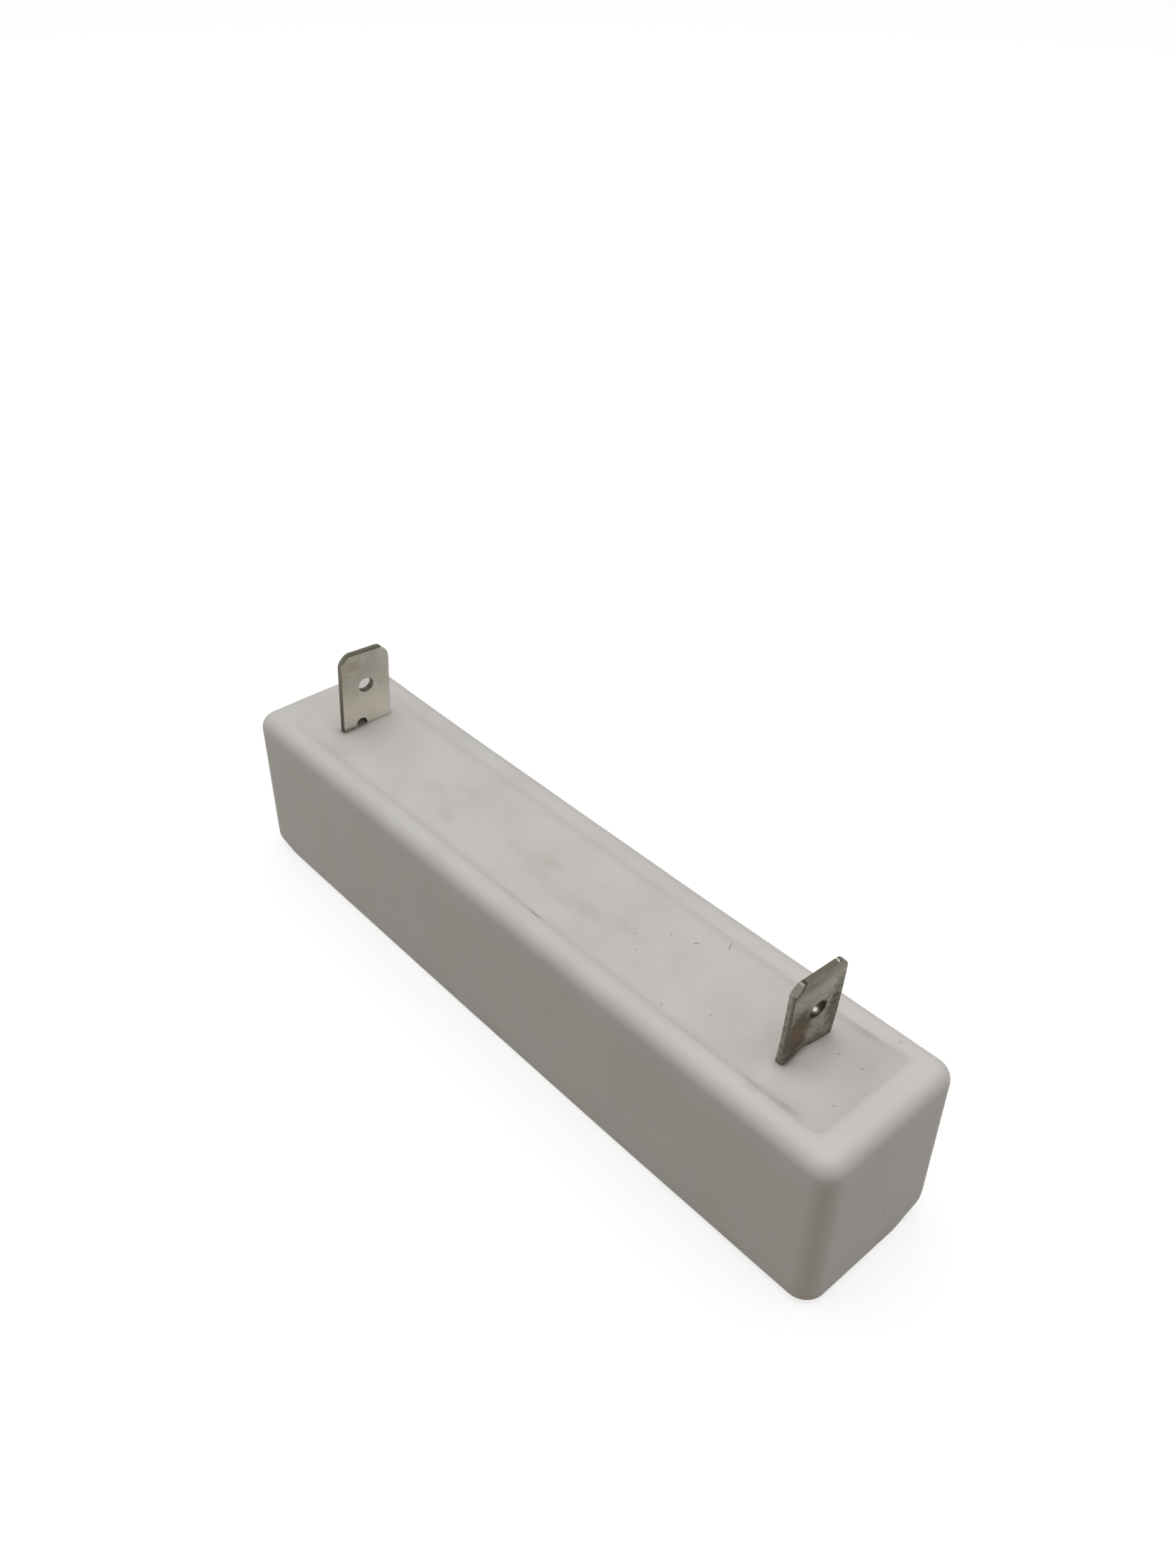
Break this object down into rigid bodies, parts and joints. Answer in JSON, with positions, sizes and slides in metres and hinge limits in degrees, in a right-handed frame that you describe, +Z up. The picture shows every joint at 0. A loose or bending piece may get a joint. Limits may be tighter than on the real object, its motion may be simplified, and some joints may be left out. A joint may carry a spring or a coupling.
{
  "type": "blower motor resistor",
  "caption": "Open ceramic case filled with cement round a ribbon-wound element, with flat blade terminals standing out of the top near each end.",
  "frame": {"origin": "middle of the case's flat bottom", "axes": "+X along the case towards the end that the picture shows nearest, +Y across it towards the long side that the picture hides, +Z up towards the blades"},
  "size_m": [0.09, 0.0182, 0.0296],
  "materials": {
    "case_ceramic": "matte",
    "potting_cement": "matte",
    "core_ceramic": "matte",
    "resistance_alloy": "satin",
    "cap_steel": "satin",
    "tinned_steel": "satin"
  },
  "bodies": {
    "root": {"ceramic_case": "case_ceramic", "cement_fill": "potting_cement", "core_rod": "core_ceramic", "resistance_ribbon": "resistance_alloy", "end_cap_far": "cap_steel", "end_cap_near": "cap_steel", "terminal_far": "tinned_steel", "terminal_near": "tinned_steel"}
  },
  "joints": []
}
